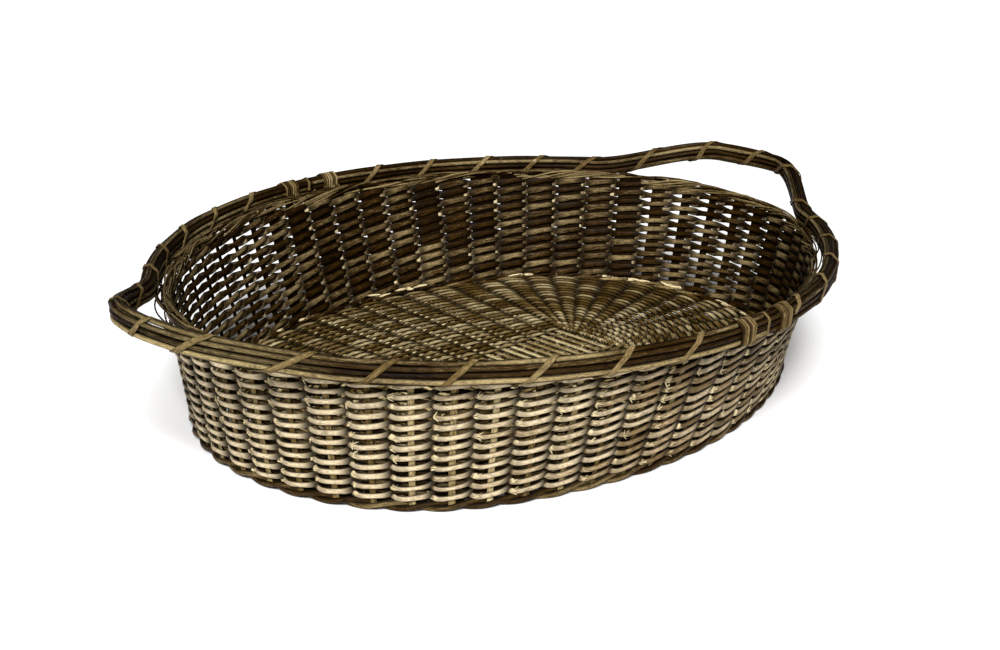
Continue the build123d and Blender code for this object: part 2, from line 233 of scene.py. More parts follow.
def piece(name, material, strands, node=None):
    """One mesh object made of many strands; it rides on the basket and stands for a CAD node."""
    vertices, quads, uvs, caps, marks = [], [], [], [], []
    base = 0
    for v, q, uv, cap, mark in strands:
        vertices.append(v)
        quads.append(q + base)
        uvs.append(uv)
        caps += [[k + base for k in polygon] for polygon in cap]
        marks.append(mark)
        base += len(v)
    vertices = np.concatenate(vertices)
    quads = np.concatenate(quads)
    uvs = np.concatenate(uvs)
    mesh = bpy.data.meshes.new(name)
    mesh.vertices.add(len(vertices))
    mesh.vertices.foreach_set("co", vertices.astype(np.float32).ravel())
    cap_corners = [k for polygon in caps for k in polygon]
    corners = np.concatenate([quads.ravel(), np.array(cap_corners, int)]).astype(np.int32)
    starts = list(range(0, quads.size, 4))
    start = quads.size
    for polygon in caps:
        starts.append(start)
        start += len(polygon)
    mesh.loops.add(len(corners))
    mesh.loops.foreach_set("vertex_index", corners)
    mesh.polygons.add(len(starts))
    mesh.polygons.foreach_set("loop_start", np.array(starts, np.int32))
    mesh.polygons.foreach_set("use_smooth", np.ones(len(starts), bool))
    layer = mesh.uv_layers.new(name="strand")
    full = np.concatenate([uvs, np.zeros((len(cap_corners), 2))]).astype(np.float32)
    layer.data.foreach_set("uv", full.ravel())
    for number, label in enumerate(MARKS):
        attribute = mesh.attributes.new(label, "FLOAT", "POINT")
        values = np.concatenate([mark[number] for mark in marks])
        attribute.data.foreach_set("value", values.astype(np.float32))
    mesh.update(calc_edges=True)
    mesh.validate()
    mesh.materials.append(material)
    made = bpy.data.objects.new(name, mesh)
    bpy.context.scene.collection.objects.link(made)
    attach(made, "root")
    if node:
        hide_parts(node)
    return made


# ---------------------------------------------------------------- materials
class Nodes:
    """Short ways to add and join shader nodes."""

    def __init__(self, name):
        self.material = bpy.data.materials.new(name)
        self.material.use_nodes = True
        self.tree = self.material.node_tree
        self.shader = self.tree.nodes["Principled BSDF"]

    def add(self, kind, settings=None, **inputs):
        node = self.tree.nodes.new("ShaderNode" + kind)
        for key, value in (settings or {}).items():
            setattr(node, key, value)
        for key, value in inputs.items():
            self.put(node.inputs[key.replace("_", " ")], value)
        return node

    def put(self, socket, value):
        if hasattr(value, "is_output"):
            self.tree.links.new(value, socket)
        else:
            socket.default_value = value

    def math(self, operation, a, b=0.5, clamp=False):
        node = self.add("Math", {"operation": operation, "use_clamp": clamp})
        self.put(node.inputs[0], a)
        self.put(node.inputs[1], b)
        return node.outputs[0]

    def mix(self, share, a, b):
        node = self.add("Mix", {"data_type": "RGBA"})
        self.put(node.inputs[0], share)
        self.put(node.inputs[6], a)
        self.put(node.inputs[7], b)
        return node.outputs[2]

    def spread(self, value, low, high, to_low=0.0, to_high=1.0):
        node = self.add("MapRange", {"clamp": True})
        self.put(node.inputs[0], value)
        self.put(node.inputs[1], low)
        self.put(node.inputs[2], high)
        self.put(node.inputs[3], to_low)
        self.put(node.inputs[4], to_high)
        return node.outputs[0]

    def noise(self, vector, scale, detail=3.0, roughness=0.6):
        node = self.add("TexNoise", Scale=scale, Detail=detail, Roughness=roughness)
        self.put(node.inputs["Vector"], vector)
        return node.outputs["Fac"]

    def ramp(self, value, stops):
        node = self.add("ValToRGB")
        self.put(node.inputs[0], value)
        elements = node.color_ramp.elements
        while len(elements) < len(stops):
            elements.new(0.5)
        for element, (position, colour) in zip(elements, stops):
            element.position = position
            element.color = colour
        return node.outputs[0]


def rgb(red, green, blue):
    """A colour given as 8-bit screen values, as linear light."""

    def linear(value):
        value = value / 255
        return value / 12.92 if value <= 0.04045 else ((value + 0.055) / 1.055) ** 2.4

    return (linear(red), linear(green), linear(blue), 1.0)


# the dark colour of grime, also used as painted shade along strand edges and dips
GRIME_AND_SHADE = (9, 4, 0)
TORN = (218, 200, 156)
WORN_GOLD = ((40, 24, 2), (214, 192, 134))
CANE_ROUGHNESS = (0.34, 0.62)
CANE_SHINE = 0.05


def cane(name, shades, inside=None, edge_shade_strength=0.6, gold=0.0):
    """Aged split cane: long fibres, patchy patina, grime, painted shade in grooves, pale torn spots.

    Shades are the dark, middle and light cane, and inside the same for the side that faces into the
    basket, which is darker partly as painted shade of the interior. Painted shade darkens the edges of
    the strand, by the given strength. Gold is how far the handle at the -X end is worn to a golden
    colour.
    """
    n = Nodes(name)
    uv = n.add("UVMap", {"uv_map": "strand"}).outputs[0]
    place = n.add("TexCoord").outputs["Object"]
    mark = {label: n.add("Attribute", {"attribute_name": label}).outputs["Fac"] for label in MARKS}
    long_fibre = n.add("Mapping", Scale=(55.0, 9.0, 1.0))
    n.put(long_fibre.inputs["Vector"], uv)
    fibre = n.noise(long_fibre.outputs[0], 1.6, 5.0, 0.7)
    fine_fibre = n.add("Mapping", Scale=(160.0, 34.0, 1.0))
    n.put(fine_fibre.inputs["Vector"], uv)
    fine = n.noise(fine_fibre.outputs[0], 1.5, 3.0, 0.65)
    patch = n.noise(place, 10.0, 5.0, 0.6)
    grime = n.noise(place, 130.0, 3.0, 0.7)

    # shade: fibres, patches and the tone of each strand, about 0.5 in the middle
    mixed = n.math("ADD", n.math("MULTIPLY", fibre, 0.5), n.math("MULTIPLY", fine, 0.27))
    mixed = n.math("ADD", mixed, n.math("MULTIPLY", patch, 0.28))
    mixed = n.math("ADD", mixed, n.math("MULTIPLY", mark["tone"], 0.4))
    shade = n.spread(mixed, 0.56, 0.9)
    dark, middle, light = (rgb(*shade_of) for shade_of in shades)
    colour = n.ramp(shade, [(0.0, dark), (0.5, middle), (1.0, light)])
    # the side facing into the basket takes the inside colours, darkened partly as painted shade
    if inside:
        inner_dark, inner_middle, inner_light = (rgb(*shade_of) for shade_of in inside)
        inner = n.ramp(shade, [(0.0, inner_dark), (0.5, inner_middle), (1.0, inner_light)])
        colour = n.mix(mark["inside"], colour, inner)
    if gold:
        position = n.add("SeparateXYZ")
        n.put(position.inputs[0], place)
        end = n.spread(position.outputs[0], -0.31, -0.39, 0.0, gold)
        near = n.spread(position.outputs[1], 0.06, -0.10)
        golden = n.mix(shade, *(rgb(*shade_of) for shade_of in WORN_GOLD))
        colour = n.mix(n.math("MULTIPLY", end, near), colour, golden)
    torn = n.spread(n.math("ADD", n.math("MULTIPLY", mark["wear"], 0.62), grime), 0.86, 1.06)
    colour = n.mix(torn, colour, rgb(*TORN))

    # grime in patches and streaks; painted shade along the edges of the strand and where it
    # dips into the weave
    split = n.add("SeparateXYZ")
    n.put(split.inputs[0], uv)
    # painted shade: the edges of each strand darkened as if shaded, the middle left light
    edge_shade = n.math("ABSOLUTE", n.math("COSINE", n.math("MULTIPLY", split.outputs[1], 2 * pi)))
    edge_shade = n.math("MULTIPLY", n.math("POWER", edge_shade, 2.4), edge_shade_strength)
    dirty = n.spread(n.noise(place, 60.0, 4.0, 0.7), 0.5, 0.68, 0.0, 0.7)
    streak = n.spread(fine, 0.53, 0.38, 0.0, 0.85)
    dirty = n.math("MAXIMUM", dirty, streak)
    shade_and_grime = n.math("MAXIMUM", n.math("MAXIMUM", edge_shade, mark["painted_shade"]), dirty)
    shade_and_grime = n.math("MULTIPLY", shade_and_grime, n.spread(torn, 0.0, 1.0, 1.0, 0.25))
    colour = n.mix(shade_and_grime, colour, rgb(*GRIME_AND_SHADE))
    n.put(n.shader.inputs["Base Color"], colour)
    roughness = n.math("ADD", fine, n.math("MULTIPLY", grime, 0.5))
    roughness = n.spread(roughness, 0.5, 1.0, *CANE_ROUGHNESS)
    n.put(n.shader.inputs["Roughness"], roughness)
    bump = n.add("Bump", Strength=0.6, Distance=0.0006)
    relief = n.math("ADD", n.math("MULTIPLY", fibre, 0.8), n.math("MULTIPLY", fine, 0.5))
    n.put(bump.inputs["Height"], relief)
    n.put(n.shader.inputs["Normal"], bump.outputs[0])
    n.shader.inputs["Specular IOR Level"].default_value = CANE_SHINE
    return n.material


# rods: near-black painted shade along their edges, in the gaps between them
ROD = cane("rod_cane", ((14, 2, 0), (66, 46, 16), (176, 154, 108)), edge_shade_strength=0.95, gold=0.85)
LASH = cane("lashing_cane", ((32, 16, 1), (102, 81, 44), (168, 146, 102)), edge_shade_strength=0.6, gold=0.6)
OUTSIDE = ((34, 14, 0), (156, 129, 88), (232, 211, 173))
# inside cane colours: browner than the outside, and much darker partly as painted shade of the basket's
# interior and of strands recessed behind the stakes
INSIDE = ((6, 0, 0), (62, 41, 10), (166, 144, 100))
WEFT = cane("wall_weft_cane", OUTSIDE, INSIDE, edge_shade_strength=0.97)
STAKE_OUTSIDE = ((52, 32, 6), (138, 114, 68), (208, 188, 138))
# near-black colours of the stake's inner strips: painted shade for the holes beside the stakes
STAKE_SHADE_STRIP_COLOURS = ((6, 0, 0), (24, 12, 1), (50, 33, 10))
STAKE = cane("stake_cane", STAKE_OUTSIDE, STAKE_SHADE_STRIP_COLOURS)
RIB = cane("rib_cane", ((56, 36, 8), (154, 131, 84), (234, 216, 166)), edge_shade_strength=0.98)
BASE_WEFT = cane("base_weft_cane", ((18, 5, 0), (106, 82, 36), (216, 196, 148)), edge_shade_strength=0.98)
BORDER = cane("border_cane", ((8, 0, 0), (64, 44, 14), (166, 144, 98)), edge_shade_strength=0.92)


# ---------------------------------------------------------------- wall
STEPS_PER_STAKE = 14
WEFT_HALF_WIDTH = 3.0 * MM  # where the weave is tight
WEFT_LOOSE_SHARE = 0.86  # of that, where it is loose
WEFT_HALF_THICKNESS = 1.15 * MM
WEFT_SIDEWAYS = 2.3 * MM
WEFT_SLANT = 1.5 * MM
WEFT_DROP = 1.2 * MM  # the strand outside a stake lies this much low, the one inside this much high
WEFT_SHARPNESS = 1.9
LEFT_END_PAINTED_LIGHT = 0.8  # painted light: the outside of the wall is lightened towards the -X end
LEFT_END_LIGHT_REACH = 80 * MM  # as far across as this
FRAY_CHANCE = 0.6
STAKE_WIDTH = 5.5 * MM
STAKE_WIDTH_SPREAD = 0.4 * MM
STAKE_HALF_THICKNESS = 0.45 * MM
STAKE_HALF_GAP = 0.35 * MM  # of each layer of strips from the middle of the wall
SHADE_STRIP_HALF_THICKNESS = 0.4 * MM
SHADE_STRIP_APART = (1.2 * MM, 6.2 * MM)  # each strip of painted shade from the stake's middle: open weave, tight weave
SHADE_STRIP_WIDTH = (0.6, 2.35)  # of the pale strip's width: open weave, tight weave
LOOSE_LEFT = (0.05, 0.3)  # shares of half the length: where the weave starts to open, and how gradually
LOOSE_RIGHT = (0.84, 0.13)


def crossing(phase, sharpness):
    """1 outside a stake, -1 inside it, with quick changes between the stakes."""
    return np.tanh(sharpness * np.cos(phase)) / np.tanh(sharpness)


def looseness(x):
    """0 in the tight part of the wall, 1 in the open weave towards its two ends."""
    towards_end = x / WALL_TOP_A
    left = smooth_step((-towards_end - LOOSE_LEFT[0]) / LOOSE_LEFT[1])
    right = smooth_step((towards_end - LOOSE_RIGHT[0]) / LOOSE_RIGHT[1])
    return np.maximum(left, right)


def wall_weft(height, turn):
    """One strand of a twined wall row: turn is 0 if it starts outside the stakes, pi if inside."""
    count = STAKES * STEPS_PER_STAKE
    share = np.arange(count) / count
    phase = pi * STAKES * share + turn
    side = crossing(phase, WEFT_SHARPNESS)
    level = height + np.sin(phase) * WEFT_SLANT - side * WEFT_DROP
    level += ripple(count, 14, 0.28 * MM) + ripple(count, 60, 0.14 * MM)
    points, normal = wall_at(share, level, side * WEFT_SIDEWAYS)
    stake_number = np.round(STAKES * share).astype(int) % STAKES
    dip = np.abs(np.sin(phase))
    loose = looseness(points[:, 0])
    half_width = WEFT_HALF_WIDTH * (1 + (WEFT_LOOSE_SHARE - 1) * loose)
    # the strand inside a stake is pressed flat and broad just past it, where the pair lie in line
    pressed = np.clip(-2.4 * side, 0, 1) * np.clip(-1.8 * np.sin(phase), 0, 1)
    half_width = half_width * (1 + 0.2 * pressed * (1 - loose))
    half_width = half_width * (1 + 0.04 * dip**3) * rng.normal(1, 0.07, STAKES)[stake_number]
    # painted light on the outside of the wall towards the -X end, added to the tone
    left_end_light = np.clip(-points[:, 0] / WALL_TOP_A, 0, 1) * (points[:, 1] < LEFT_END_LIGHT_REACH) * (side > 0)
    tone = rng.uniform(0.25, 0.8, STAKES)[stake_number] + LEFT_END_PAINTED_LIGHT * left_end_light
    emerging = np.exp(-((((phase + pi) % (2 * pi) - 0.56 * pi) / 0.34) ** 2))
    frayed = rng.uniform(-0.4, 1.05, STAKES)[stake_number]
    # painted shade where the strand dips into the weave, less where it comes out torn
    marks = {
        "tone": tone,
        "wear": emerging * frayed,
        "painted_shade": 0.97 * dip**2.2 * (1 - 0.45 * emerging),
        "inside": smooth_step(0.5 - 1.5 * side),
    }
    return sweep(points, normal, half_width, WEFT_HALF_THICKNESS, True, 10, 1.0, **marks)


def fray(height):
    """Tufts of torn fibres where the strands come out between the stakes."""
    slivers = []
    for stake_number in range(STAKES):
        if rng.uniform() > FRAY_CHANCE:
            continue
        middle = (stake_number + 0.5 + rng.uniform(-0.06, 0.10)) / STAKES
        for _ in range(rng.integers(4, 9)):
            z = height - WEFT_DROP + rng.uniform(-1.6, 0.6) * MM
            start, normal = wall_at(middle, z, rng.uniform(1.6, 2.9) * MM)
            ahead, _ = wall_at(middle + 0.001, z, 0.0)
            behind, _ = wall_at(middle, z, 0.0)
            along = unit(ahead - behind)
            up = np.cross(normal, along)
            angle = rng.normal(0.12, 0.5)
            way = along * cos(angle) + up * sin(angle) + normal * rng.uniform(-0.05, 0.3)
            steps = np.linspace(0, 1, 4)[:, None]
            reach = rng.uniform(2.0, 6.5) * MM
            curl = normal * steps**2 * rng.uniform(-0.8, 0.6) * MM
            points = start + way * steps * reach + curl
            widths = np.array([0.7, 1.0, 0.75, 0.1]) * rng.uniform(0.25, 0.75) * MM
            facing = np.tile(normal, (4, 1))
            slivers.append(sweep(points, facing, widths, 0.25 * MM, False, 4, 1.0, tone=1.0, wear=1.2))
    return slivers


def make_wall():
    for row in range(WALL_ROWS):
        node = f"wall_weft_row_{row + 1:02d}"
        height = mid(node, 2)
        strands = [wall_weft(height, 0.0), wall_weft(height, pi)]
        piece("twined_" + node, WEFT, strands + fray(height), node)


def stake(share, width):
    """One upright stake: a pale strip outside and, inside it, a pair of dark strips side by side.

    The dark pair are painted shade: in the tight weave they spread wide and darken the holes beside
    the stake. In the open weave the pair lie behind the outer strip and can't be told apart.
    """
    steps = 14
    heights = np.linspace(FOOT_THICKNESS, WALL_TOP_HEIGHT - BORDER_RADIUS, steps)
    shares = share + ripple(steps, 2, 0.2 * MM, False) / RIM_LENGTH
    points, normal = wall_at(shares, heights, 0.0)
    outer, _ = wall_at(shares, heights, STAKE_HALF_GAP)
    tone = rng.uniform(0.3, 0.9)
    tight = 1 - looseness(points[0, 0])
    made = [sweep(outer, normal, width / 2, STAKE_HALF_THICKNESS, False, 8, 0.6, tone=tone, wear=0.4)]
    # the inner strips are painted shade: near-black colours, darkened further
    dark = {"tone": tone, "inside": 1.0, "painted_shade": 0.5}
    apart = (SHADE_STRIP_APART[0] + (SHADE_STRIP_APART[1] - SHADE_STRIP_APART[0]) * tight) / RIM_LENGTH
    half_width = width * (SHADE_STRIP_WIDTH[0] + (SHADE_STRIP_WIDTH[1] - SHADE_STRIP_WIDTH[0]) * tight) / 2
    for beside in (-1, 1):
        inner, _ = wall_at(shares + beside * apart, heights, -STAKE_HALF_GAP - 0.1 * MM * beside)
        made.append(sweep(inner, normal, half_width, SHADE_STRIP_HALF_THICKNESS, False, 8, 0.6, **dark))
    return made


def make_stakes():
    half_end = LONG_STICKS // 2
    side = STAKES // 2 - LONG_STICKS
    first = -half_end
    counts = {"end_right": LONG_STICKS, "side_far": side, "end_left": LONG_STICKS, "side_near": side}
    for group, count in counts.items():
        made = []
        for number in range(first, first + count):
            made += stake(number / STAKES, rng.normal(STAKE_WIDTH, STAKE_WIDTH_SPREAD))
        first += count
        piece("split_stakes_" + group, STAKE, made, "wall_stakes_" + group)


# ---------------------------------------------------------------- borders
BORDER_STEPS = STAKES * 14
BORDER_DEPTH = 5.0 * MM  # middle of the top border below its top strand
BORDER_SWING_UP = 4.6 * MM
BORDER_SWING_OUT = 2.9 * MM
STRAYS = 33  # to each strand of the border
STRAY_STEPS = 40
STRAY_CENTRES = (0.0, 0.25, 0.5)  # shares of the way round
SEAM_HEIGHT = 10.2 * MM
SEAM_INSET = 3.2 * MM
SEAM_TWIST = 1.3 * MM
SEAM_ROUGH_ENDS = 70
FOOT_HEIGHT = 5.3 * MM
FOOT_OUT = 0.8 * MM
FOOT_SWING_UP = 2.3 * MM
FOOT_SWING_OUT = 2.1 * MM


def make_top_border():
    """Thin strands laid loosely round each other along the top edge, with stray ones up to the rim."""
    count = BORDER_STEPS
    share = np.arange(count) / count
    for number, name in enumerate(("top", "inner", "outer")):
        strands = []
        for layer, (size, turns) in enumerate(((1.0, 14), (0.8, 12), (0.45, 9))):
            order = 3 * layer + number
            phase = 2 * pi * (turns * share + order / 9)
            level = WALL_TOP_HEIGHT - BORDER_DEPTH + BORDER_SWING_UP * size * np.sin(phase)
            level = level + ripple(count, 40, 0.4 * MM)
            sideways = BORDER_SWING_OUT * size * np.cos(phase) + ripple(count, 40, 0.25 * MM)
            points, normal = wall_at(share, level, sideways)
            tone = rng.uniform(0.2, 0.9) + ripple(count, 25, 0.2)
            strand = sweep(points, normal, 1.0 * MM, 0.75 * MM, True, 7, 1.0, tone=tone, wear=0.2)
            strands.append(strand)
        strands += stray_strands()
        piece("twisted_border_" + name, BORDER, strands, f"top_border_{name}_strand")


def stray_strands():
    """Thin strands that leave the border, lie between it and the rim and come back to it."""
    made = []
    for number in range(STRAYS):
        middle = STRAY_CENTRES[number % len(STRAY_CENTRES)]
        start = middle + rng.uniform(-0.17, 0.09)
        steps = np.linspace(0, 1, STRAY_STEPS)
        bow = np.sin(pi * steps)
        level = WALL_TOP_HEIGHT - rng.uniform(1.0, 7.0) * MM + rng.uniform(-1.0, 4.0) * MM * bow
        level = level + ripple(STRAY_STEPS, 5, 0.4 * MM, False)
        reach = rng.uniform(1.0, 12.0) * MM * bow - rng.uniform(-1.5, 2.5) * MM
        points, normal = wall_at(start + steps * rng.uniform(0.05, 0.11), level, reach)
        half_width = rng.uniform(0.7, 1.1) * MM
        tone = rng.uniform(0.2, 1.0)
        strand = sweep(points, normal, half_width, 0.7 * MM, False, 7, 1.0, tone=tone, wear=0.2)
        made.append(strand)
    return made


def seam():
    """Two twisted strands and rough pale ends in the corner between the base and the wall."""
    count = BORDER_STEPS
    share = np.arange(count) / count
    made = []
    for turn in (0.0, pi):
        phase = pi * STAKES * share + turn
        level = SEAM_HEIGHT + SEAM_TWIST * np.sin(phase)
        points, normal = wall_at(share, level, SEAM_TWIST * np.cos(phase) - SEAM_INSET)
        tone = 0.4 + ripple(count, 30, 0.2)
        made.append(sweep(points, normal, 1.8 * MM, 1.2 * MM, True, 8, 1.0, tone=tone, wear=0.4))
    for _ in range(SEAM_ROUGH_ENDS):
        start = rng.uniform()
        steps = np.linspace(0, rng.uniform(7, 24) * MM / RIM_LENGTH, 6)
        rise = rng.uniform(11.0, 13.5) * MM + np.linspace(0, rng.uniform(-2, 2.5) * MM, 6)
        points, normal = wall_at(start + steps, rise, -4.6 * MM + ripple(6, 2, 0.5 * MM, False))
        widths = np.array([0.3, 0.9, 1.0, 1.0, 0.8, 0.2]) * rng.uniform(0.8, 1.9) * MM
        wear = rng.uniform(0.5, 1.3)
        made.append(sweep(points, normal, widths, 0.35 * MM, False, 6, 1.0, tone=1.0, wear=wear))
    return made


def make_foot_border():
    """Two strands twisted round each other along the bottom edge."""
    for number, name in enumerate(("outer", "inner")):
        count = BORDER_STEPS
        share = np.arange(count) / count
        phase = pi * STAKES * share + pi * number
        level = FOOT_HEIGHT + FOOT_SWING_UP * np.sin(phase) + ripple(count, 20, 0.15 * MM)
        points, normal = wall_at(share, level, FOOT_OUT + FOOT_SWING_OUT * np.cos(phase))
        tone = 0.5 + ripple(count, 20, 0.15)
        strands = [sweep(points, normal, 2.35 * MM, 1.9 * MM, True, 10, 1.0, tone=tone, wear=0.3)]
        if name == "inner":
            strands += seam()
        piece("twisted_foot_" + name, BORDER, strands, f"foot_border_{name}_strand")


# ---------------------------------------------------------------- base
BASE_EDGE = tuple(size - 2.5 * MM for size in WALL_BASE)
BASE_STEPS_PER_STAKE = 10
BASE_WEFT_LIFT = 2.0 * MM
BASE_WEFT_SWING = 1.1 * MM
BASE_WEFT_HALF_THICKNESS = 1.15 * MM
CROSS_STICK_WIDTH = 6.0 * MM
LONG_STICK_WIDTH = 3.1 * MM
STICK_END_INSET = 1.6 * MM
# painted shade on the long sticks where they lie under the cross sticks
SHADE_UNDER_CROSS_STICKS = 0.7


def spoke_starts():
    """Where the spokes leave the bare middle, in the order of the wall's stakes."""
    half_end = LONG_STICKS // 2
    side = STAKES // 2 - LONG_STICKS
    starts = []
    for stake_number in range(STAKES):
        k = stake_number
        if k <= half_end:
            starts.append((CENTRE_A, k * CENTRE_B / (half_end + 0.5)))
        elif k <= half_end + side:
            starts.append((CENTRE_A * (1 - 2 * (k - half_end - 0.5) / side), CENTRE_B))
        elif k <= 3 * half_end + side + 1:
            m = k - STAKES // 2
            starts.append((-CENTRE_A, -m * CENTRE_B / (half_end + 0.5)))
        elif k <= 3 * half_end + 2 * side + 1:
            m = k - (3 * half_end + side + 1) - 0.5
            starts.append((-CENTRE_A * (1 - 2 * m / side), -CENTRE_B))
        else:
            starts.append((CENTRE_A, (k - STAKES) * CENTRE_B / (half_end + 0.5)))
    return np.array(starts)


def closed_spline(knots, per_knot):
    """A smooth closed curve through the knots."""
    before, after, next_after = np.roll(knots, 1, 0), np.roll(knots, -1, 0), np.roll(knots, -2, 0)
    t = (np.arange(per_knot) / per_knot)[None, :, None]
    p0, p1, p2, p3 = (k[:, None, :] for k in (before, knots, after, next_after))
    curve = 0.5 * (
        2 * p1
        + (p2 - p0) * t
        + (2 * p0 - 5 * p1 + 4 * p2 - p3) * t**2
        + (3 * p1 - p0 - 3 * p2 + p3) * t**3
    )
    return curve.reshape(-1, knots.shape[1])


def spoke_ends():
    x, y, _, _ = oval_at(*BASE_EDGE, np.arange(STAKES) / STAKES)
    return np.stack([x, y], -1)


def base_weft(row, turn):
    """One strand of a twined base row."""
    outwards = (row + 0.5) / BASE_ROWS
    knots = spoke_starts() * (1 - outwards) + spoke_ends() * outwards
    plan = closed_spline(knots, BASE_STEPS_PER_STAKE)
    count = len(plan)
    pitch = (BASE_EDGE[1] - CENTRE_B) / BASE_ROWS
    phase = pi * np.arange(count) / BASE_STEPS_PER_STAKE + turn
    side = crossing(phase, 1.7)
    lift = side * BASE_WEFT_LIFT
    ahead = unit(np.roll(plan, -1, 0) - np.roll(plan, 1, 0))
    out = np.stack([ahead[:, 1], -ahead[:, 0]], -1)
    swing = np.sin(phase) * BASE_WEFT_SWING + ripple(count, 20, 0.25 * MM)
    plan = plan + out * swing[:, None]
    points = np.concatenate([plan, (STICK_LEVEL + lift)[:, None]], 1)
    normal = np.tile([0.0, 0.0, 1.0], (count, 1))
    spoke = np.round(np.arange(count) / BASE_STEPS_PER_STAKE).astype(int) % STAKES
    tone = rng.uniform(0.3, 0.8, STAKES)[spoke]
    dip = np.abs(np.sin(phase))
    half_width = pitch * 0.33 * (1 - 0.3 * dip**3) * rng.normal(1, 0.06, STAKES)[spoke]
    # painted shade where the strand dips between the sticks
    marks = {"tone": tone, "wear": 0.15, "painted_shade": 0.95 * dip**2.5}
    return sweep(points, normal, half_width, BASE_WEFT_HALF_THICKNESS, True, 8, 1.0, **marks)


def make_base_weave():
    """The strand that starts above the sticks and the one that starts below, in three zones."""
    per_zone = BASE_ROWS // 3
    for level, turn in (("upper", 0.0), ("lower", pi)):
        for zone, place in enumerate(("inner", "middle", "outer")):
            rows = [base_weft(row, turn) for row in range(zone * per_zone, (zone + 1) * per_zone)]
            piece(f"twined_base_{level}_{place}", BASE_WEFT, rows, f"base_weave_{level}_{place}")


def stick(plan, level, width, thickness, tone, painted_shade=0.0):
    """A flat stick along a route in plan, with that much painted shade laid on it."""
    legs = [np.linspace(a, b, 12, endpoint=False) for a, b in zip(plan, plan[1:])]
    flat = np.concatenate(legs + [np.array([plan[-1]])])
    points = np.concatenate([flat, np.full((len(flat), 1), level)], 1)
    points[:, 2] += ripple(len(points), 5, 0.12 * MM, False)
    normal = np.tile([0.0, 0.0, 1.0], (len(points), 1))
    marks = {"tone": tone, "wear": 0.5, "painted_shade": painted_shade}
    return sweep(points, normal, width / 2, thickness / 2, False, 10, 0.75, **marks)


def make_base_sticks():
    starts, ends = spoke_starts(), spoke_ends()
    half_end = LONG_STICKS // 2
    side = STAKES // 2 - LONG_STICKS
    pitch = 2 * CENTRE_A / CROSS_STICKS
    cross = []
    for number in range(side):
        k = half_end + 1 + number
        for apart in (pitch / 2, -pitch / 2):
            start = starts[k] + np.array([apart, 0])
            bend = np.array([0, pitch / 2])
            end = ends[k] + np.array([apart, -STICK_END_INSET])
            flip = np.array([1, -1])
            route = [end, start + bend, (start + bend) * flip, end * flip]
            tone = rng.uniform(0.3, 0.9)
            cross.append(stick(route, STICK_LEVEL, CROSS_STICK_WIDTH, STICK_THICKNESS, tone))
    piece("split_cross_sticks", RIB, cross, "base_cross_sticks")
    long = []
    for number in range(-half_end, half_end + 1):
        right = ends[number % STAKES] - np.array([STICK_END_INSET, 0])
        y = starts[number % STAKES][1]
        flip = np.array([-1, 1])
        bend = np.array([CENTRE_A, y])
        route = [right, bend, bend * flip, right * flip]
        level = STICK_LEVEL - STICK_THICKNESS
        tone = rng.uniform(0.2, 0.8)
        long.append(stick(route, level, LONG_STICK_WIDTH, STICK_THICKNESS, tone, SHADE_UNDER_CROSS_STICKS))
    piece("split_long_sticks", BASE_WEFT, long, "base_long_sticks")


# ---------------------------------------------------------------- rim
ROD_STEPS = 300
ROD_WANDER = 0.34 * MM
ROD_SHARE = 0.85  # of the CAD radius, so that dark gaps show between the rods
WRAP_SINK = 0.3 * MM  # how far the strips lie below the CAD surface of the rods
LASHING_HALF_WIDTH = 2.5 * MM
LASHING_HALF_THICKNESS = 0.45 * MM
LASHING_STEPS = 44  # to a turn
LASHING_SIDE_PITCH = 66 * MM
LASHING_HANDLE_PITCH = 53 * MM
LASHING_CLEAR = 42 * MM  # of the middle of a joint binding
BINDING_TURNS = 6
BINDING_PITCH = 3.05 * MM
BINDING_OFFSET = 26 * MM  # of each group of turns from the joint
BINDING_START = 0.6  # of a turn


def bundle_places():
    """Rod middles in the bundle, outwards and upwards, in columns of three, four and three."""
    step = ROD_PITCH * np.sqrt(3) / 2
    places = []
    for column, rods in zip((-1, 0, 1), (3, 4, 3)):
        places += [(column * step, (rod - (rods - 1) / 2) * ROD_PITCH) for rod in range(rods)]
    return places


def make_rods():
    quarter = RIM_LENGTH / 4
    for half, centre in (("right", 0.0), ("left", 2 * quarter)):
        for number, (out_by, up_by) in enumerate(bundle_places(), start=1):
            count = ROD_STEPS
            along = centre + np.linspace(-quarter + ROD_JOINT_GAP, quarter - ROD_JOINT_GAP, count)
            middle, _, out, up = rim_at(along)
            fade = np.sin(np.linspace(0, pi, count)) ** 0.4
            out_to = out_by + ripple(count, 14, ROD_WANDER, False) * fade
            up_to = up_by + ripple(count, 14, ROD_WANDER, False) * fade
            points = middle + out * out_to[:, None] + up * up_to[:, None]
            radius = ROD_RADIUS * (ROD_SHARE + ripple(count, 8, 0.03, False))
            node = f"rim_rod_{half}_{number:02d}"
            tone = rng.uniform(0.2, 0.85) + ripple(count, 8, 0.12, False)
            strand = sweep(points, out, radius, radius, False, 12, 1.0, tone=tone, wear=0.25)
            piece("round_" + node, ROD, [strand], node)


def bundle_outline(clearance):
    """A closed line round the bundle, that far outside its rods, at equal steps, starting outwards."""
    count = 48
    rods = np.array(bundle_places())
    angle = np.linspace(0, 2 * pi, 721)[:-1]
    way = np.stack([np.cos(angle), np.sin(angle)], -1)
    corner = rods[np.argmax(way @ rods.T, axis=1)]
    line = corner + way * (ROD_RADIUS + clearance)
    line = np.vstack([line, line[:1]])
    length = np.concatenate([[0], np.cumsum(np.linalg.norm(np.diff(line, axis=0), axis=1))])
    at = np.linspace(0, length[-1], count, endpoint=False)
    outline = np.stack([np.interp(at, length, line[:, axis]) for axis in (0, 1)], -1)
    return outline


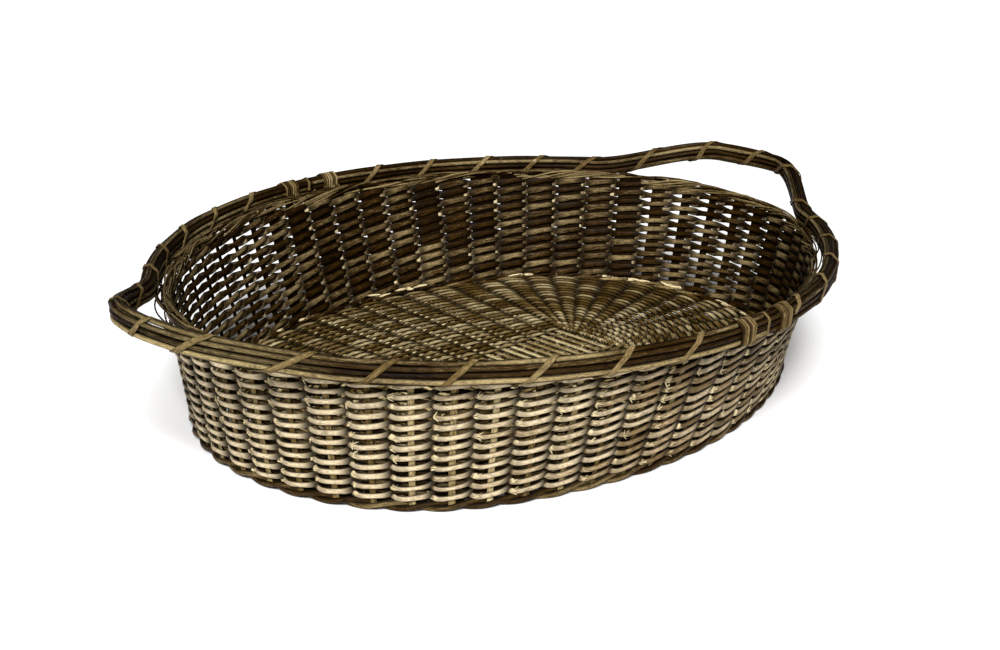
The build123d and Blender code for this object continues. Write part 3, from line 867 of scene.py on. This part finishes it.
def wound(along, turn, half_width, half_thickness, tone):
    """A strip wound round the bundle: places along the rim and the turns it has made by there."""
    outline = bundle_outline(half_thickness - WRAP_SINK)
    per_turn = len(outline)
    ring = np.arange(per_turn + 1) / per_turn
    closed = np.vstack([outline, outline[:1]])
    facing = unit(np.roll(outline, -1, 0) - np.roll(outline, 1, 0))
    facing = np.vstack([facing, facing[:1]])
    out_by, up_by, face_x, face_y = (
        np.interp(turn % 1, ring, line) for line in (*closed.T, *facing.T)
    )
    middle, _, out, up = rim_at(along)
    points = middle + out * out_by[:, None] + up * up_by[:, None]
    normal = out * face_y[:, None] - up * face_x[:, None]
    return sweep(points, normal, half_width, half_thickness, False, 8, 0.6, tone=tone, wear=0.35)


def lashing_turns(along):
    """Turns the flat lashing has made at a length along the rim: closer round the handles."""
    fine = np.linspace(-RIM_LENGTH / 2, RIM_LENGTH * 1.5, 4000)
    mean = (LASHING_SIDE_PITCH + LASHING_HANDLE_PITCH) / 2
    change = (LASHING_SIDE_PITCH - LASHING_HANDLE_PITCH) / 2
    pitch = mean - change * np.cos(4 * pi * fine / RIM_LENGTH)
    total = np.concatenate([[0], np.cumsum(np.diff(fine) / pitch[1:])])
    return np.interp(along, fine, total)


def make_lashing():
    """The flat strip that winds along the rim between the joint bindings, one for each half."""
    quarter = RIM_LENGTH / 4
    clear = LASHING_CLEAR
    # for each half, one place along the rim and the part of a turn that the strip has reached there
    set_turns = {"left": (0.638 * RIM_LENGTH, 0.07), "right": (0.138 * RIM_LENGTH, 0.36)}
    groups = {
        "handle_right": [("right", -quarter / 2, quarter / 2)],
        "side_far": [("right", quarter / 2, quarter - clear), ("left", quarter + clear, 1.5 * quarter)],
        "handle_left": [("left", 1.5 * quarter, 2.5 * quarter)],
        "side_near": [
            ("left", 2.5 * quarter, 3 * quarter - clear),
            ("right", -quarter + clear, -quarter / 2),
        ],
    }
    for group, runs in groups.items():
        strips = []
        for half, start, end in runs:
            at, reached = set_turns[half]
            turns = abs(lashing_turns(end) - lashing_turns(start))
            along = np.linspace(start, end, int(turns * LASHING_STEPS))
            turn = lashing_turns(along) - lashing_turns(at) + reached
            fade = np.sin(np.linspace(0, pi, len(along)))
            along = along + ripple(len(along), max(3, int(turns)), 2.5 * MM, False) * fade
            tone = rng.uniform(0.45, 0.7)
            strips.append(wound(along, turn, LASHING_HALF_WIDTH, LASHING_HALF_THICKNESS, tone))
        piece("flat_lashing_" + group, LASH, strips, "lashing_" + group)


def make_bindings():
    """The tight turns over the joints of the rods, in two groups with a single turn between."""
    quarter = RIM_LENGTH / 4
    for name, centre in (("far", quarter), ("near", 3 * quarter)):
        strips = []
        for group in (-1, 1):
            turn = np.linspace(0, BINDING_TURNS, BINDING_TURNS * LASHING_STEPS)
            along = centre + group * BINDING_OFFSET + (turn - BINDING_TURNS / 2) * BINDING_PITCH
            tone = rng.uniform(0.1, 0.95, BINDING_TURNS + 1)[turn.astype(int)]
            strips.append(wound(along, turn + BINDING_START, 1.0 * MM, 0.95 * MM, tone))
        turn = np.linspace(0, 1, LASHING_STEPS)
        along = centre + (turn - 0.5) * 8 * MM
        strips.append(wound(along, turn + BINDING_START, 1.6 * MM, 0.5 * MM, 0.6))
        piece("wound_joint_binding_" + name, LASH, strips, "joint_binding_" + name)


make_wall()
make_stakes()
make_top_border()
make_foot_border()
make_base_weave()
make_base_sticks()
make_rods()
make_lashing()
make_bindings()


# ---------------------------------------------------------------- floor, light and camera
FLOOR_HALF_SIZE = 30.0
FLOOR_COLOUR = (0.9, 0.9, 0.9, 1)
FLOOR_ROUGHNESS = 0.9
WORLD_STRENGTH = 0.12
KEY_ENERGY = 5.5
KEY_WIDTH = radians(20)
KEY_AZIMUTH = radians(-50)
KEY_ELEVATION = radians(43)
CAMERA_AZIMUTH = radians(-47.84)
CAMERA_ELEVATION = radians(20.335)
CAMERA_ROLL = radians(1.70)
CAMERA_TARGET = Vector((-0.0122, -0.0062, 0.057))
CAMERA_DISTANCE = 1.414
CAMERA_LENS = 55.67
CAMERA_SENSOR = 36


def direction(azimuth, elevation):
    """From the basket towards something seen at that azimuth from -Y and that elevation."""
    level = cos(elevation)
    return Vector((sin(azimuth) * level, -cos(azimuth) * level, sin(elevation)))


def make_floor():
    mesh = bpy.data.meshes.new("studio_floor")
    size = FLOOR_HALF_SIZE
    corners = [(-size, -size, 0), (size, -size, 0), (size, size, 0), (-size, size, 0)]
    mesh.from_pydata(corners, [], [(0, 1, 2, 3)])
    floor = bpy.data.objects.new("studio_floor", mesh)
    bpy.context.scene.collection.objects.link(floor)
    n = Nodes("studio_floor")
    n.shader.inputs["Base Color"].default_value = FLOOR_COLOUR
    n.shader.inputs["Roughness"].default_value = FLOOR_ROUGHNESS
    mesh.materials.append(n.material)


def make_light():
    """A dim white world and one large soft light from in front of the basket and above it."""
    world = bpy.data.worlds.new("studio")
    bpy.context.scene.world = world
    world.use_nodes = True
    background = world.node_tree.nodes["Background"]
    background.inputs[0].default_value = (1, 1, 1, 1)
    background.inputs[1].default_value = WORLD_STRENGTH
    light = bpy.data.lights.new("key", "SUN")
    light.energy = KEY_ENERGY
    light.angle = KEY_WIDTH
    key = bpy.data.objects.new("key", light)
    back = direction(KEY_AZIMUTH, KEY_ELEVATION)
    key.rotation_euler = back.to_track_quat("Z", "Y").to_euler()
    bpy.context.scene.collection.objects.link(key)


def make_camera():
    back = direction(CAMERA_AZIMUTH, CAMERA_ELEVATION)
    right = Vector((cos(CAMERA_AZIMUTH), sin(CAMERA_AZIMUTH), 0))
    up = back.cross(right)
    turned_right = right * cos(CAMERA_ROLL) + up * sin(CAMERA_ROLL)
    turned_up = up * cos(CAMERA_ROLL) - right * sin(CAMERA_ROLL)
    place = CAMERA_TARGET + back * CAMERA_DISTANCE
    data = bpy.data.cameras.new("camera")
    data.sensor_width = CAMERA_SENSOR
    data.lens = CAMERA_LENS
    camera = bpy.data.objects.new("camera", data)
    matrix = camera.matrix_world.copy()
    for row in range(3):
        matrix[row][0] = turned_right[row]
        matrix[row][1] = turned_up[row]
        matrix[row][2] = back[row]
        matrix[row][3] = place[row]
    camera.matrix_world = matrix
    bpy.context.scene.collection.objects.link(camera)
    bpy.context.scene.camera = camera


make_floor()
make_light()
make_camera()
bpy.context.scene.view_settings.view_transform = "Standard"
